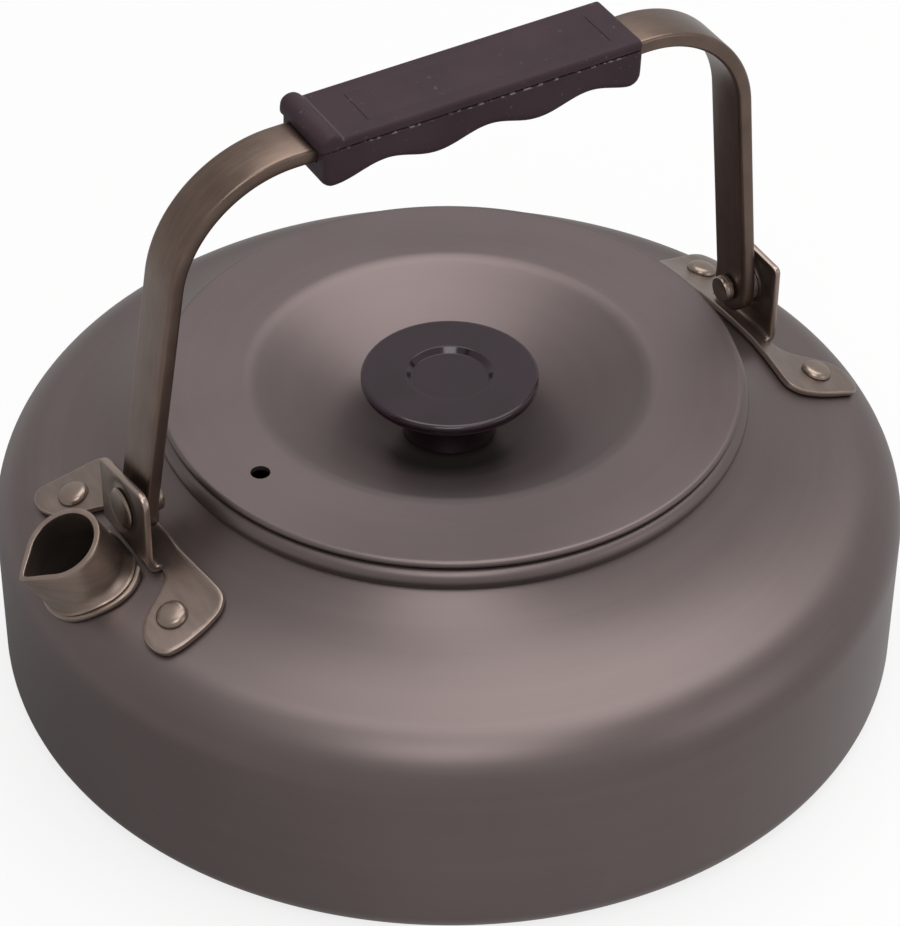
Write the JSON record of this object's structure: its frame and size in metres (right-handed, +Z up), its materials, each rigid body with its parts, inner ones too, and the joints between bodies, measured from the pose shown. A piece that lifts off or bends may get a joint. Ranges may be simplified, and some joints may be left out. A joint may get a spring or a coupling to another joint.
{
  "type": "camping kettle",
  "caption": "Low round camping kettle with a sunk lid, a knob in the lid's dish, a short pinched spout and a folding bail handle with a moulded finger grip.",
  "frame": {"origin": "on the turning axis of the body, in the plane that the flat base rests on", "axes": "+Z up along the turning axis; X along the bail's pivot axis, with the spout on the -X side"},
  "size_m": [0.1836, 0.18, 0.1365],
  "materials": {
    "body_shell": "hard-anodised warm grey, satin, with fine turning lines",
    "lid_metal": "hard-anodised warm grey, satin, brighter at the hemmed edge",
    "spout_metal": "anodised bronze-grey, satin",
    "bracket_metal": "anodised bronze-grey sheet, satin, brighter cut edges",
    "rivet_metal": "anodised bronze-grey, polished by the closing tool",
    "bail_metal": "anodised bronze-brown flat bar, satin",
    "plain_steel": "plain zinc-plated steel",
    "insert_brass": "turned brass",
    "knob_moulding": "black moulded phenolic, semi-gloss",
    "grip_moulding": "black moulded phenolic, matt, dusty in the wear marks"
  },
  "bodies": {
    "kettle": {"kettle_body": "body_shell", "spout_tube": "spout_metal", "spout_ring": "spout_metal", "spout_bracket": "bracket_metal", "rear_bracket": "bracket_metal", "spout_bracket_rivet_1": "rivet_metal", "spout_bracket_rivet_2": "rivet_metal", "rear_bracket_rivet_1": "rivet_metal", "rear_bracket_rivet_2": "rivet_metal", "spout_pivot_rivet": "rivet_metal", "rear_pivot_rivet": "rivet_metal", "spout_pivot_washer": "plain_steel", "rear_pivot_washer": "plain_steel"},
    "lid": {"lid_shell": "lid_metal", "lid_knob": "knob_moulding", "knob_insert": "insert_brass", "knob_washer": "plain_steel", "knob_screw": "plain_steel"},
    "bail": {"bail_bar": "bail_metal", "grip_upper_half": "grip_moulding", "grip_lower_half": "grip_moulding"}
  },
  "joints": [
    {"name": "bail_pivot", "type": "hinge", "parent": "kettle", "child": "bail", "pos_m": [0, 0, 0.0595], "axis": [1, 0, 0], "range_deg": [-91, 85]},
    {"name": "lid_lift", "type": "slide", "parent": "kettle", "child": "lid", "axis": [0, 0, 1], "range_m": [0, 0.04]}
  ]
}
